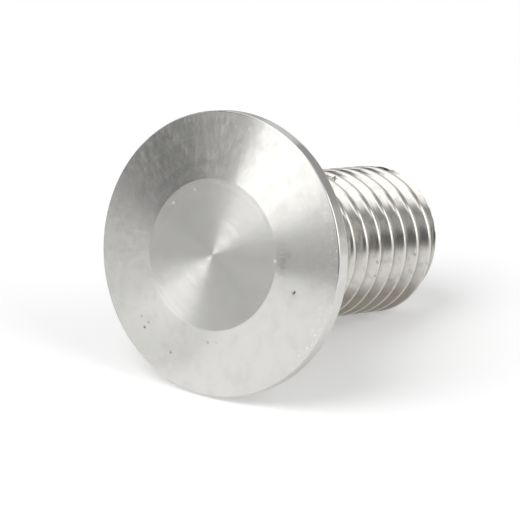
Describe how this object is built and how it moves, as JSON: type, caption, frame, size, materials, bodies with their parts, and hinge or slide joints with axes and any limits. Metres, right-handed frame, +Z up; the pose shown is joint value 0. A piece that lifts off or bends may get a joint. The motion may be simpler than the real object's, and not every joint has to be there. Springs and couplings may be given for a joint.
{
  "type": "rim stud",
  "caption": "Turned stainless steel stud: broad low head with a flat middle and a shallow bevel, on a right-hand threaded shank with a chamfered end.",
  "frame": {"origin": "on the surface that the stud lies on, under the middle of its box", "axes": "+Z up from that surface, +X along the shank, from the head towards the end of the thread"},
  "size_m": [0.018, 0.015, 0.0147],
  "materials": {
    "stainless_steel": "bright stainless steel, as turned, with fine rings on the head"
  },
  "bodies": {
    "root": {"stud": "stainless_steel"}
  },
  "joints": []
}
